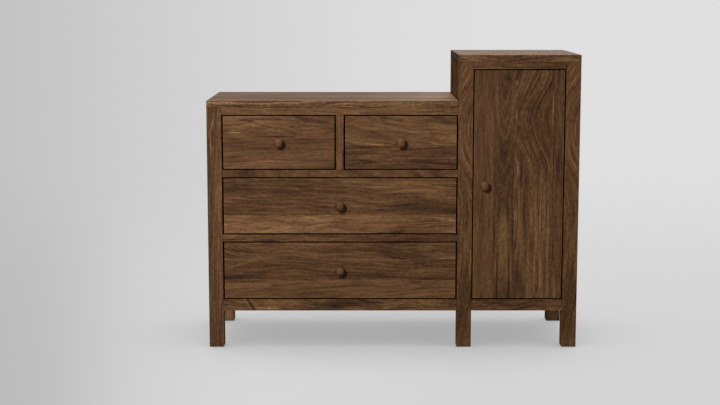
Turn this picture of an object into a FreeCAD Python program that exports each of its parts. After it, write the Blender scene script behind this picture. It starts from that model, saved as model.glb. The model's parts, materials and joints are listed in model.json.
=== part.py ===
"""A dresser with four drawers, joined to a taller tower cupboard with one door.

Frame: origin on the floor under the middle of the whole piece, knobs included.
+X to the right as seen from the front, +Y to the back, +Z up. Millimetres.
"""
import FreeCAD, Part
import math
import os

os.makedirs("parts", exist_ok=True)

# Case: overall sizes
LEG = 50.0                  # side of a square leg
DRESSER_OPENING = 806.0     # clear width between the left and middle legs
DOOR_OPENING = 314.0        # clear width between the middle and right legs
DEPTH = 457.0               # front of the front legs to back of the rear legs
HEIGHT = 1011.0             # floor to the tower top
TOWER_RISE = 155.0          # tower top above the dresser top
TOP_THICKNESS = 24.0
TOP_RAIL_HEIGHT = 24.0
DIVIDER_RAIL_HEIGHT = 25.0
BOTTOM_RAIL_HEIGHT = 40.0
FLOOR_CLEARANCE = 130.0     # floor to the underside of the bottom rails
LOW_EXTRA = 6.0             # low drawer's opening, above an even third of the room for drawers
MIDDLE_EXTRA = 2.0          # middle drawer's opening, likewise; the small drawers get the rest

# Case: boards and their joints
DIVIDER_WIDTH = 26.0        # upright board between the two small drawers
RAIL_THICKNESS = 24.0       # front rails, front to back
RAIL_SETBACK = 1.0          # rails, drawer fronts and door stand behind the leg faces
REAR_RAIL_THICKNESS = 20.0
PANEL_THICKNESS = 18.0      # side panels and the partition
PANEL_RECESS = 5.0          # panels stand in from the left or right faces of the legs
BACK_THICKNESS = 8.0
BACK_RECESS = 6.0           # back panels stand in from the rear faces of the legs
FLOOR_THICKNESS = 18.0
SHADOW_GAP_DEPTH = 10.0     # groove between the dresser top and the tower's side
TENON_LENGTH = 20.0
TENON_THICKNESS = 8.0
TENON_SHOULDER = 5.0        # above and below each tenon
GROOVE_DEPTH = 8.0          # panels in the legs
HOUSING_DEPTH = 6.0         # floors in the panels
JOINT_CLEARANCE = 0.15      # around tenons, panels and boards in their slots
SOCKET_SPARE = 1.0          # depth to spare at the bottom of a blind hole
EASE = 0.8                  # chamfer on every board edge

# Wall fixing: two pilot holes in the backs of the tower's rear post and leg
ANTI_TIP_RADIUS = 2.0
ANTI_TIP_DEPTH = 30.0
ANTI_TIP_DROP = 50.0        # below the underside of the tower top

# Leg glides
GLIDE_RADIUS = 14.0
GLIDE_THICKNESS = 2.0
GLIDE_STEM_RADIUS = 2.0
GLIDE_STEM_LENGTH = 16.0

# Drawers
FRONT_GAP = 4.0             # gap around the door, and over and under every drawer front
DRAWER_SIDE_GAP = 5.2       # gap at each end of a drawer front
FRONT_THICKNESS = 20.0      # drawer fronts and the door
BOX_SIDE = 14.0
BOX_BACK = 12.0
BOX_LIFT = 14.0             # box above the bottom of its opening
BOX_HEADROOM = 24.0         # box below the top of its opening
BOX_REAR_CLEARANCE = 2.0
BOX_BACK_INSET = 8.0        # box back in from the ends of the sides
BOX_BACK_DROP = 6.0         # box back below the tops of the sides
BOX_BACK_HOUSING = 5.0      # box back into the sides
BOTTOM_THICKNESS = 6.0
BOTTOM_RISE = 10.0          # drawer bottom above the lower edges of the sides
BOTTOM_GROOVE = 6.0
DOVETAIL_DEPTH = 9.0        # sliding dovetail of each side in its front
DOVETAIL_NECK = 8.0
DOVETAIL_TAIL = 11.0
DOVETAIL_STOP = 10.0        # dovetail ends below the top of the side

# Drawer slides: case, middle and drawer members nested in each other
SLIDE_THICKNESS = 12.7      # leg face to drawer side
SLIDE_HEIGHT = 45.0
SLIDE_SHEET = 1.4
SLIDE_RACE = 3.2            # room for the balls between two members
SLIDE_WEB_GAP = 0.6
SLIDE_INSET = 3.0           # slides start behind the drawer front
SLIDE_SIDE_GAP = 1.0        # case and middle members clear of the drawer side
CAGE_LENGTH = 150.0
CAGE_WIDTH = 5.0
CAGE_END = 20.0             # cages in from the ends of the middle member
BALL_PLAY = 0.2

# Knobs
KNOB_DIAMETER = 33.0
KNOB_PROJECTION = 30.0
KNOB_RIM_START = 16.0       # rim of the head, measured from the front
KNOB_RIM_HEIGHT = 1.5
KNOB_BASE_RADIUS = 8.5
KNOB_TENON_RADIUS = 5.0
KNOB_TENON_LENGTH = 13.0
DOOR_KNOB_INSET = 36.0      # from the free edge of the door

# Door hinges: a pivot at the top and at the bottom of the door
PIVOT_INSET = 11.0          # in from the hinged edge of the door
PIVOT_SETBACK = 9.0         # behind the front of the door
PIN_RADIUS = 2.5
PIN_REACH = 6.0             # pin beyond the door leaf
PIN_CLEARANCE = 0.05
PIN_HOLE_ROOM = 0.5         # around the pin inside the wood
COLLAR_RADIUS = 5.5
HINGE_PLAY = 0.1            # collar to door leaf
LEAF_LENGTH = 45.0
LEAF_WIDTH = 12.0
LEAF_THICKNESS = 2.5
LEAF_END = 7.0              # leaf beyond the pivot

# Magnetic catch and its strike plate
CATCH_WIDTH = 16.0
CATCH_DEPTH = 13.0
CATCH_HEIGHT = 46.0
CATCH_DROP = 90.0           # middle of the catch below the top of the door opening
CATCH_GAP = 0.3
CATCH_SLOT_RADIUS = 2.0     # two screw holes through the catch
CATCH_SLOT_SPACING = 30.0
STRIKE_WIDTH = 11.0
STRIKE_HEIGHT = 38.0
STRIKE_THICKNESS = 1.5
STRIKE_EDGE = 1.0           # in from the free edge of the door

# Tower shelves
SHELF_COUNT = 2
SHELF_THICKNESS = 18.0
SHELF_GAP = 1.0
SHELF_PIN_RADIUS = 2.5
SHELF_PIN_REACH = 9.0       # under the shelf
SHELF_PIN_SEAT = 8.0        # in the panel
SHELF_PIN_INSET = 40.0      # in from the legs
SHELF_HOLE_PITCH = 32.0
SHELF_HOLES_EACH_WAY = 2    # spare holes above and below each shelf's own

# Levels across, left to right
WIDTH = 3 * LEG + DRESSER_OPENING + DOOR_OPENING
X_LEFT = -WIDTH / 2
X_DRESSER = X_LEFT + LEG
X_MIDDLE = X_DRESSER + DRESSER_OPENING
X_DOOR = X_MIDDLE + LEG
X_JAMB = X_DOOR + DOOR_OPENING
X_RIGHT = X_JAMB + LEG
X_DIVIDER = X_DRESSER + (DRESSER_OPENING - DIVIDER_WIDTH) / 2

# Levels front to back
Y_FRONT = (KNOB_PROJECTION - RAIL_SETBACK - DEPTH) / 2
Y_FACE = Y_FRONT + RAIL_SETBACK
Y_INNER = Y_FACE + FRONT_THICKNESS
Y_REAR = Y_FRONT + DEPTH
Y_BACK = Y_REAR - BACK_RECESS - BACK_THICKNESS
Y_REAR_RAIL = Y_BACK - REAR_RAIL_THICKNESS
Y_BOX_END = Y_REAR_RAIL - BOX_REAR_CLEARANCE

# Levels upwards
Z_TOWER = HEIGHT
Z_TOWER_SLAB = Z_TOWER - TOP_THICKNESS
Z_DOOR_TOP = Z_TOWER_SLAB - TOP_RAIL_HEIGHT
Z_DRESSER = HEIGHT - TOWER_RISE
Z_DRESSER_SLAB = Z_DRESSER - TOP_THICKNESS
Z_UPPER_TOP = Z_DRESSER_SLAB - TOP_RAIL_HEIGHT
Z_RAIL = FLOOR_CLEARANCE
Z_LOW = Z_RAIL + BOTTOM_RAIL_HEIGHT
EVEN_ROW = (Z_UPPER_TOP - Z_LOW - 2 * DIVIDER_RAIL_HEIGHT) / 3
Z_LOW_TOP = Z_LOW + EVEN_ROW + LOW_EXTRA
Z_MIDDLE = Z_LOW_TOP + DIVIDER_RAIL_HEIGHT
Z_MIDDLE_TOP = Z_MIDDLE + EVEN_ROW + MIDDLE_EXTRA
Z_UPPER = Z_MIDDLE_TOP + DIVIDER_RAIL_HEIGHT

X_AXIS = FreeCAD.Vector(1, 0, 0)
Y_AXIS = FreeCAD.Vector(0, 1, 0)
Z_AXIS = FreeCAD.Vector(0, 0, 1)


def block(limits):
    """A plain box from its limits (x0, x1, y0, y1, z0, z1)."""
    x0, x1, y0, y1, z0, z1 = limits
    return Part.makeBox(x1 - x0, y1 - y0, z1 - z0, FreeCAD.Vector(x0, y0, z0))


def board(limits):
    """A box with every edge eased."""
    plain = block(limits)
    return plain.makeChamfer(EASE, plain.Edges)


def grown(limits, amount):
    """Limits moved out by an amount on every side."""
    return tuple(value + (amount if i % 2 else -amount) for i, value in enumerate(limits))


def slot_for(limits):
    """The room that a board needs in the piece that holds it."""
    return block(grown(limits, JOINT_CLEARANCE))


def rod(radius, start, direction, length):
    return Part.makeCylinder(radius, length, FreeCAD.Vector(*start), direction)


def carved(shape, cutters):
    """The shape without the cutters that reach it."""
    near = [cutter for cutter in cutters if cutter.BoundBox.intersect(shape.BoundBox)]
    return shape.cut(near) if near else shape


def joined(shape, *others):
    return shape.fuse(list(others)).removeSplitter()


def export(node, *shapes):
    """Write a node's solids, one or a group of like pieces, to its file."""
    solids = [solid for shape in shapes for solid in shape.Solids]
    whole = solids[0] if len(solids) == 1 else Part.makeCompound(solids)
    whole.exportStep(f"parts/{node}.step")


def tenon(rail):
    """Limits of the tenons at both ends of a rail, as one bar through it."""
    x0, x1, y0, y1, z0, z1 = rail
    middle = (y0 + y1) / 2
    half = TENON_THICKNESS / 2
    return (x0 - TENON_LENGTH, x1 + TENON_LENGTH, middle - half, middle + half,
            z0 + TENON_SHOULDER, z1 - TENON_SHOULDER)


def tenoned(rail):
    return joined(board(rail), block(tenon(rail)))


# Where each rail, panel and floor of the case lies
FRONT_RAIL_DEPTH = (Y_FACE, Y_FACE + RAIL_THICKNESS)
REAR_RAIL_DEPTH = (Y_REAR_RAIL, Y_BACK)
PANEL_DEPTH = (Y_FRONT + LEG - GROOVE_DEPTH, Y_REAR - LEG + GROOVE_DEPTH)
BACK_DEPTH = (Y_BACK, Y_BACK + BACK_THICKNESS)
FLOOR_DEPTH = (Y_FACE + RAIL_THICKNESS, Y_REAR_RAIL)
DRESSER_SPAN = (X_DRESSER, X_MIDDLE)
DOOR_SPAN = (X_DOOR, X_JAMB)
BOTTOM_RAIL_LEVEL = (Z_RAIL, Z_LOW)
FLOOR_LEVEL = (Z_LOW - FLOOR_THICKNESS, Z_LOW)

DRESSER_TOP_RAIL = (*DRESSER_SPAN, *FRONT_RAIL_DEPTH, Z_UPPER_TOP, Z_DRESSER_SLAB)
DIVIDER_RAILS = [
    (*DRESSER_SPAN, *FRONT_RAIL_DEPTH, Z_MIDDLE_TOP, Z_UPPER),
    (*DRESSER_SPAN, *FRONT_RAIL_DEPTH, Z_LOW_TOP, Z_MIDDLE),
]
DRESSER_BOTTOM_RAIL = (*DRESSER_SPAN, *FRONT_RAIL_DEPTH, *BOTTOM_RAIL_LEVEL)
TOWER_TOP_RAIL = (*DOOR_SPAN, *FRONT_RAIL_DEPTH, Z_DOOR_TOP, Z_TOWER_SLAB)
TOWER_BOTTOM_RAIL = (*DOOR_SPAN, *FRONT_RAIL_DEPTH, *BOTTOM_RAIL_LEVEL)
REAR_RAILS = [
    (*DRESSER_SPAN, *REAR_RAIL_DEPTH, Z_UPPER_TOP, Z_DRESSER_SLAB),
    (*DRESSER_SPAN, *REAR_RAIL_DEPTH, Z_MIDDLE_TOP, Z_UPPER),
    (*DRESSER_SPAN, *REAR_RAIL_DEPTH, *BOTTOM_RAIL_LEVEL),
    (*DOOR_SPAN, *REAR_RAIL_DEPTH, Z_DOOR_TOP, Z_TOWER_SLAB),
    (*DOOR_SPAN, *REAR_RAIL_DEPTH, *BOTTOM_RAIL_LEVEL),
]

X_LEFT_PANEL = X_LEFT + PANEL_RECESS
X_PARTITION = X_MIDDLE + PANEL_RECESS
X_RIGHT_PANEL = X_RIGHT - PANEL_RECESS - PANEL_THICKNESS
LEFT_PANEL = (X_LEFT_PANEL, X_LEFT_PANEL + PANEL_THICKNESS, *PANEL_DEPTH, Z_RAIL, Z_DRESSER_SLAB)
PARTITION = (X_PARTITION, X_PARTITION + PANEL_THICKNESS, *PANEL_DEPTH, Z_RAIL, Z_TOWER_SLAB)
RIGHT_PANEL = (X_RIGHT_PANEL, X_RIGHT_PANEL + PANEL_THICKNESS, *PANEL_DEPTH, Z_RAIL, Z_TOWER_SLAB)
DRESSER_BACK = (X_DRESSER - GROOVE_DEPTH, X_MIDDLE + GROOVE_DEPTH, *BACK_DEPTH, Z_RAIL, Z_DRESSER_SLAB)
TOWER_BACK = (X_DOOR - GROOVE_DEPTH, X_JAMB + GROOVE_DEPTH, *BACK_DEPTH, Z_RAIL, Z_TOWER_SLAB)
DRESSER_FLOOR = (X_LEFT_PANEL + PANEL_THICKNESS - HOUSING_DEPTH, X_PARTITION + HOUSING_DEPTH,
                 *FLOOR_DEPTH, *FLOOR_LEVEL)
TOWER_FLOOR = (X_PARTITION + PANEL_THICKNESS - HOUSING_DEPTH, X_RIGHT_PANEL + HOUSING_DEPTH,
               *FLOOR_DEPTH, *FLOOR_LEVEL)


def upright_limits(x0, y0, bottom, top):
    return (x0, x0 + LEG, y0, y0 + LEG, bottom, top)


def leg_limits(x0, y0, top):
    return upright_limits(x0, y0, GLIDE_THICKNESS, top)


# Five legs reach the floor. The post behind the middle one ends at the underside of the case.
Y_REAR_LEG = Y_REAR - LEG
LEGS = {
    "front_left_leg": leg_limits(X_LEFT, Y_FRONT, Z_DRESSER_SLAB),
    "rear_left_leg": leg_limits(X_LEFT, Y_REAR_LEG, Z_DRESSER_SLAB),
    "front_middle_leg": leg_limits(X_MIDDLE, Y_FRONT, Z_TOWER_SLAB),
    "front_right_leg": leg_limits(X_JAMB, Y_FRONT, Z_TOWER_SLAB),
    "rear_right_leg": leg_limits(X_JAMB, Y_REAR_LEG, Z_TOWER_SLAB),
}
UPRIGHTS = {**LEGS, "rear_middle_post": upright_limits(X_MIDDLE, Y_REAR_LEG, Z_RAIL, Z_TOWER_SLAB)}
ANTI_TIP_UPRIGHTS = ("rear_middle_post", "rear_right_leg")


def glide(leg):
    """A disc under a leg, with a stem driven up into it."""
    centre = ((leg[0] + leg[1]) / 2, (leg[2] + leg[3]) / 2, 0)
    disc = rod(GLIDE_RADIUS, centre, Z_AXIS, GLIDE_THICKNESS)
    return joined(disc, rod(GLIDE_STEM_RADIUS, centre, Z_AXIS, GLIDE_THICKNESS + GLIDE_STEM_LENGTH))


def glide_hole(leg):
    centre = ((leg[0] + leg[1]) / 2, (leg[2] + leg[3]) / 2, 0)
    depth = GLIDE_THICKNESS + GLIDE_STEM_LENGTH + SOCKET_SPARE
    return rod(GLIDE_STEM_RADIUS + JOINT_CLEARANCE, centre, Z_AXIS, depth)


def anti_tip_hole(upright):
    mouth = ((upright[0] + upright[1]) / 2, Y_REAR, Z_TOWER_SLAB - ANTI_TIP_DROP)
    return rod(ANTI_TIP_RADIUS, mouth, -Y_AXIS, ANTI_TIP_DEPTH)


def build_legs():
    """Five legs and a post, with mortises for the rails and grooves for the panels."""
    rails = [DRESSER_TOP_RAIL, *DIVIDER_RAILS, DRESSER_BOTTOM_RAIL, TOWER_TOP_RAIL, TOWER_BOTTOM_RAIL,
             *REAR_RAILS]
    slots = [slot_for(tenon(rail)) for rail in rails]
    slots += [slot_for(panel) for panel in (LEFT_PANEL, PARTITION, RIGHT_PANEL, DRESSER_BACK, TOWER_BACK)]
    slots += [glide_hole(leg) for leg in LEGS.values()]
    slots += [anti_tip_hole(UPRIGHTS[name]) for name in ANTI_TIP_UPRIGHTS]
    for name, limits in UPRIGHTS.items():
        export(name, carved(board(limits), slots))
    export("leg_glides", *[glide(leg) for leg in LEGS.values()])


def build_tops():
    """Two flat tops. A tongue on the dresser top reaches the partition between the tower's legs."""
    slab = board((X_LEFT, X_MIDDLE, Y_FRONT, Y_REAR, Z_DRESSER_SLAB, Z_DRESSER))
    tongue = (X_MIDDLE - LEG, X_PARTITION, Y_FRONT + LEG + JOINT_CLEARANCE, Y_REAR_LEG - JOINT_CLEARANCE,
              Z_DRESSER_SLAB + EASE, Z_DRESSER - SHADOW_GAP_DEPTH)
    export("dresser_top", joined(slab, block(tongue)))
    export("tower_top", board((X_MIDDLE, X_RIGHT, Y_FRONT, Y_REAR, Z_TOWER_SLAB, Z_TOWER)))


def build_rails():
    leaf_slots = [slot_for(frame_leaf(end)) for end in HINGE_ENDS]
    export("dresser_top_rail", tenoned(DRESSER_TOP_RAIL))
    export("divider_rails", *[tenoned(rail) for rail in DIVIDER_RAILS])
    export("dresser_bottom_rail", tenoned(DRESSER_BOTTOM_RAIL))
    export("tower_top_rail", carved(tenoned(TOWER_TOP_RAIL), leaf_slots))
    export("tower_bottom_rail", carved(tenoned(TOWER_BOTTOM_RAIL), leaf_slots))
    export("rear_rails", *[tenoned(rail) for rail in REAR_RAILS])
    export("centre_divider", board((X_DIVIDER, X_DIVIDER + DIVIDER_WIDTH, Y_FACE, Y_BACK,
                                    Z_UPPER, Z_UPPER_TOP)))


def shelf_levels():
    """Undersides of the shelves, at even steps in the tower."""
    clear = (Z_DOOR_TOP - Z_LOW - SHELF_COUNT * SHELF_THICKNESS) / (SHELF_COUNT + 1)
    return [Z_LOW + clear * (i + 1) + SHELF_THICKNESS * i for i in range(SHELF_COUNT)]


def shelf_pin_places():
    """Start and direction of each pin's axis at the two panel faces, for both shelves."""
    places = []
    for level in shelf_levels():
        for y in (Y_FRONT + LEG + SHELF_PIN_INSET, Y_REAR_LEG - SHELF_PIN_INSET):
            places.append(((X_PARTITION + PANEL_THICKNESS, y, level - SHELF_PIN_RADIUS), X_AXIS))
            places.append(((X_RIGHT_PANEL, y, level - SHELF_PIN_RADIUS), -X_AXIS))
    return places


def build_panels():
    """Side panels, partition, backs and floors."""
    uprights = [slot_for(limits) for limits in UPRIGHTS.values()]
    housings = [slot_for(DRESSER_FLOOR), slot_for(TOWER_FLOOR)]
    for (x, y, z), direction in shelf_pin_places():
        for step in range(-SHELF_HOLES_EACH_WAY, SHELF_HOLES_EACH_WAY + 1):
            mouth = (x, y, z + step * SHELF_HOLE_PITCH)
            housings.append(rod(SHELF_PIN_RADIUS + JOINT_CLEARANCE, mouth, -direction,
                                SHELF_PIN_SEAT + SOCKET_SPARE))
    export("left_side_panel", carved(board(LEFT_PANEL), housings))
    export("partition_panel", carved(board(PARTITION), housings))
    export("right_side_panel", carved(board(RIGHT_PANEL), housings))
    export("dresser_back", board(DRESSER_BACK))
    export("tower_back", board(TOWER_BACK))
    export("dresser_floor", carved(board(DRESSER_FLOOR), uprights))
    export("tower_floor", carved(board(TOWER_FLOOR), uprights))


def build_shelves():
    x0 = X_PARTITION + PANEL_THICKNESS + SHELF_GAP
    x1 = X_RIGHT_PANEL - SHELF_GAP
    y0 = Y_FRONT + LEG + SHELF_GAP
    y1 = Y_REAR_LEG - SHELF_GAP
    shelves = [board((x0, x1, y0, y1, level, level + SHELF_THICKNESS)) for level in shelf_levels()]
    pins = []
    for (x, y, z), direction in shelf_pin_places():
        start = (x - direction.x * SHELF_PIN_SEAT, y, z)
        pins.append(rod(SHELF_PIN_RADIUS, start, direction, SHELF_PIN_SEAT + SHELF_PIN_REACH))
    export("tower_shelves", *shelves)
    export("shelf_pins", *pins)


def knob(x, z):
    """A turned knob on the face at x, z: a tenon, a waisted neck and a domed head."""
    def at(radius, out):
        return FreeCAD.Vector(x + radius, Y_FACE - out, z)

    rim = KNOB_DIAMETER / 2
    rim_end = KNOB_RIM_START + KNOB_RIM_HEIGHT
    rise = KNOB_PROJECTION - rim_end
    dome = (rim ** 2 + rise ** 2) / (2 * rise)
    half_angle = math.atan2(rim, dome - rise) / 2
    dome_middle = at(dome * math.sin(half_angle), KNOB_PROJECTION - dome * (1 - math.cos(half_angle)))
    neck_middle = at(KNOB_BASE_RADIUS + (rim - KNOB_BASE_RADIUS) / 7, KNOB_RIM_START * 0.58)
    outline = Part.Wire([
        Part.makeLine(at(0, -KNOB_TENON_LENGTH), at(KNOB_TENON_RADIUS, -KNOB_TENON_LENGTH)),
        Part.makeLine(at(KNOB_TENON_RADIUS, -KNOB_TENON_LENGTH), at(KNOB_TENON_RADIUS, 0)),
        Part.makeLine(at(KNOB_TENON_RADIUS, 0), at(KNOB_BASE_RADIUS, 0)),
        Part.Arc(at(KNOB_BASE_RADIUS, 0), neck_middle, at(rim, KNOB_RIM_START)).toShape(),
        Part.makeLine(at(rim, KNOB_RIM_START), at(rim, rim_end)),
        Part.Arc(at(rim, rim_end), dome_middle, at(0, KNOB_PROJECTION)).toShape(),
        Part.makeLine(at(0, KNOB_PROJECTION), at(0, -KNOB_TENON_LENGTH)),
    ])
    return Part.Face(outline).revolve(FreeCAD.Vector(x, 0, z), Y_AXIS, 360)


def knob_hole(x, z):
    return rod(KNOB_TENON_RADIUS + JOINT_CLEARANCE, (x, Y_FACE, z), Y_AXIS, KNOB_TENON_LENGTH + SOCKET_SPARE)


# Drawer openings: node prefix, left, right, bottom, top
OPENINGS = [
    ("top_left", X_DRESSER, X_DIVIDER, Z_UPPER, Z_UPPER_TOP),
    ("top_right", X_DIVIDER + DIVIDER_WIDTH, X_MIDDLE, Z_UPPER, Z_UPPER_TOP),
    ("middle", X_DRESSER, X_MIDDLE, Z_MIDDLE, Z_MIDDLE_TOP),
    ("low", X_DRESSER, X_MIDDLE, Z_LOW, Z_LOW_TOP),
]


def dovetail(x, z0, z1, clearance):
    """A sliding dovetail at the back of a drawer front, upright, centred on x."""
    neck = DOVETAIL_NECK / 2 + clearance
    tail = DOVETAIL_TAIL / 2 + clearance
    tip = Y_INNER - DOVETAIL_DEPTH - clearance
    corners = [(x - neck, Y_INNER), (x + neck, Y_INNER), (x + tail, tip), (x - tail, tip)]
    points = [FreeCAD.Vector(px, py, z0) for px, py in corners]
    return Part.Face(Part.makePolygon(points + points[:1])).extrude(FreeCAD.Vector(0, 0, z1 - z0))


def channel(x, inward, depth, height, z, y0, y1):
    """A steel channel along Y: its web at x, its flanges reaching inward (+1 or -1 along X)."""
    def across(near, far):
        return sorted((x + inward * near, x + inward * far))

    hollow = height / 2 - SLIDE_SHEET
    outside = block((*across(0, depth), y0, y1, z - height / 2, z + height / 2))
    return outside.cut(block((*across(SLIDE_SHEET, depth + SLIDE_SHEET), y0 - EASE, y1 + EASE,
                              z - hollow, z + hollow)))


def slide(x, inward, z):
    """Case member, middle member with ball cages, and drawer member of one slide on the face at x."""
    y0 = Y_INNER + SLIDE_INSET
    y1 = Y_BOX_END
    web = SLIDE_SHEET + SLIDE_WEB_GAP
    middle_height = SLIDE_HEIGHT - 2 * (SLIDE_SHEET + SLIDE_RACE)
    drawer_height = middle_height - 2 * (SLIDE_SHEET + SLIDE_RACE)
    reach = SLIDE_THICKNESS - SLIDE_SIDE_GAP
    case_member = channel(x, inward, reach, SLIDE_HEIGHT, z, y0, y1)
    middle = [channel(x + inward * web, inward, reach - web, middle_height, z, y0, y1)]
    drawer_member = channel(x + inward * SLIDE_THICKNESS, -inward, SLIDE_THICKNESS - 2 * web,
                            drawer_height, z, y0, y1)
    near = (SLIDE_THICKNESS - CAGE_WIDTH) / 2
    across = sorted((x + inward * near, x + inward * (near + CAGE_WIDTH)))
    outer_race = middle_height / 2
    inner_race = drawer_height / 2
    for up in (1, -1):
        rear = sorted((z + up * outer_race, z + up * (outer_race + SLIDE_RACE - BALL_PLAY)))
        front = sorted((z + up * (inner_race + BALL_PLAY), z + up * (inner_race + SLIDE_RACE)))
        middle.append(block((*across, y1 - CAGE_END - CAGE_LENGTH, y1 - CAGE_END, *rear)))
        middle.append(block((*across, y0 + CAGE_END, y0 + CAGE_END + CAGE_LENGTH, *front)))
    return case_member, middle, drawer_member


def build_drawer(name, left, right, bottom, top):
    """All pieces of one drawer. Returns the case members of its slides."""
    x_mid = (left + right) / 2
    z_mid = (bottom + top) / 2
    z0 = bottom + BOX_LIFT
    z1 = top - BOX_HEADROOM
    x0 = left + SLIDE_THICKNESS
    x1 = right - SLIDE_THICKNESS
    z_bottom = z0 + BOTTOM_RISE
    z_box = z_bottom + BOTTOM_THICKNESS
    y_back = Y_BOX_END - BOX_BACK_INSET
    into_bottom = BOX_SIDE - BOTTOM_GROOVE
    into_back = BOX_SIDE - BOX_BACK_HOUSING

    front = (left + DRAWER_SIDE_GAP, right - DRAWER_SIDE_GAP, Y_FACE, Y_INNER,
             bottom + FRONT_GAP, top - FRONT_GAP)
    panel = (x0 + into_bottom, x1 - into_bottom, Y_INNER - BOTTOM_GROOVE, Y_BOX_END, z_bottom, z_box)
    back = (x0 + into_back, x1 - into_back, y_back - BOX_BACK, y_back, z_box, z1 - BOX_BACK_DROP)
    sides = [(x0, x0 + BOX_SIDE), (x1 - BOX_SIDE, x1)]
    grooves = [slot_for(panel), slot_for(back)]

    tails = []
    boards = []
    for side in sides:
        middle = sum(side) / 2
        tail_top = z1 - DOVETAIL_STOP
        tails.append(dovetail(middle, bottom, tail_top + JOINT_CLEARANCE, JOINT_CLEARANCE))
        upright = board((*side, Y_INNER, Y_BOX_END, z0, z1))
        boards.append(carved(joined(upright, dovetail(middle, z0 + EASE, tail_top, 0)), grooves))

    export(f"{name}_drawer_front", carved(board(front), [*tails, slot_for(panel), knob_hole(x_mid, z_mid)]))
    export(f"{name}_drawer_sides", *boards)
    export(f"{name}_drawer_back", board(back))
    export(f"{name}_drawer_bottom", board(panel))
    export(f"{name}_drawer_knob", knob(x_mid, z_mid))

    z_slide = (z0 + z1) / 2
    case_left, middle_left, drawer_left = slide(left, 1, z_slide)
    case_right, middle_right, drawer_right = slide(right, -1, z_slide)
    export(f"{name}_slide_middle", *middle_left, *middle_right)
    export(f"{name}_slide_drawer", drawer_left, drawer_right)
    return [case_left, case_right]


# Hinge ends: level of the rail's face, and the way from the rail to the door
HINGE_ENDS = [(Z_DOOR_TOP, -1), (Z_LOW, 1)]
X_PIVOT = X_JAMB - FRONT_GAP - PIVOT_INSET
Y_PIVOT = Y_FACE + PIVOT_SETBACK
LEAF_OUTLINE = (X_PIVOT + LEAF_END - LEAF_LENGTH, X_PIVOT + LEAF_END,
                Y_PIVOT - LEAF_WIDTH / 2, Y_PIVOT + LEAF_WIDTH / 2)


def frame_leaf(end):
    """Limits of the leaf let into a rail."""
    level, towards = end
    return (*LEAF_OUTLINE, *sorted((level, level - towards * LEAF_THICKNESS)))


def door_leaf(end):
    """Limits of the leaf let into the door's edge."""
    level, towards = end
    edge = level + towards * FRONT_GAP
    return (*LEAF_OUTLINE, *sorted((edge, edge + towards * LEAF_THICKNESS)))


def pivot_rod(end, radius, length):
    """A cylinder on the pivot axis, from a rail's face towards the door."""
    level, towards = end
    return rod(radius, (X_PIVOT, Y_PIVOT, level), Z_AXIS * towards, length)


def build_door():
    """The door slab, its knob, its pivot hinges, and the magnetic catch."""
    pin_length = FRONT_GAP + LEAF_THICKNESS + PIN_REACH
    frame_leaves = []
    door_leaves = []
    cuts = []
    for end in HINGE_ENDS:
        collar = pivot_rod(end, COLLAR_RADIUS, FRONT_GAP - HINGE_PLAY)
        pin = pivot_rod(end, PIN_RADIUS, pin_length)
        frame_leaves.append(joined(block(frame_leaf(end)), collar, pin))
        hole = pivot_rod(end, PIN_RADIUS + PIN_CLEARANCE, pin_length)
        door_leaves.append(block(door_leaf(end)).cut(hole))
        cuts.append(slot_for(door_leaf(end)))
        cuts.append(pivot_rod(end, PIN_RADIUS + PIN_HOLE_ROOM, pin_length + SOCKET_SPARE))

    x_free = X_DOOR + FRONT_GAP
    slab = (x_free, X_JAMB - FRONT_GAP, Y_FACE, Y_INNER, Z_LOW + FRONT_GAP, Z_DOOR_TOP - FRONT_GAP)
    x_knob = x_free + DOOR_KNOB_INSET
    z_knob = (Z_LOW + Z_DOOR_TOP) / 2
    export("door_panel", carved(board(slab), [*cuts, knob_hole(x_knob, z_knob)]))
    export("door_knob", knob(x_knob, z_knob))
    export("hinge_frame_leaves", *frame_leaves)
    export("hinge_door_leaves", *door_leaves)

    z_catch = Z_DOOR_TOP - CATCH_DROP
    y_strike = Y_INNER + STRIKE_THICKNESS
    y_catch = y_strike + CATCH_GAP
    x_strike = x_free + STRIKE_EDGE
    export("catch_strike", block((x_strike, x_strike + STRIKE_WIDTH, Y_INNER, y_strike,
                                  z_catch - STRIKE_HEIGHT / 2, z_catch + STRIKE_HEIGHT / 2)))
    body = board((X_DOOR, X_DOOR + CATCH_WIDTH, y_catch, y_catch + CATCH_DEPTH,
                  z_catch - CATCH_HEIGHT / 2, z_catch + CATCH_HEIGHT / 2))
    holes = [rod(CATCH_SLOT_RADIUS, (X_DOOR, y_catch + CATCH_DEPTH / 2, z_catch + way * CATCH_SLOT_SPACING / 2),
                 X_AXIS, CATCH_WIDTH) for way in (-1, 1)]
    export("magnetic_catch", carved(body, holes))


build_legs()
build_tops()
build_rails()
build_panels()
build_shelves()
case_members = []
for opening in OPENINGS:
    case_members += build_drawer(*opening)
export("slide_case_members", *case_members)
build_door()
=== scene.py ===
"""Looks of the dresser tower: oiled walnut, maple drawer boxes, black slides and pivots.

Frame: metres, origin on the floor under the middle of the piece, +Y to the back, +Z up.
"""
import json
import math
from dataclasses import dataclass, fields

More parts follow.
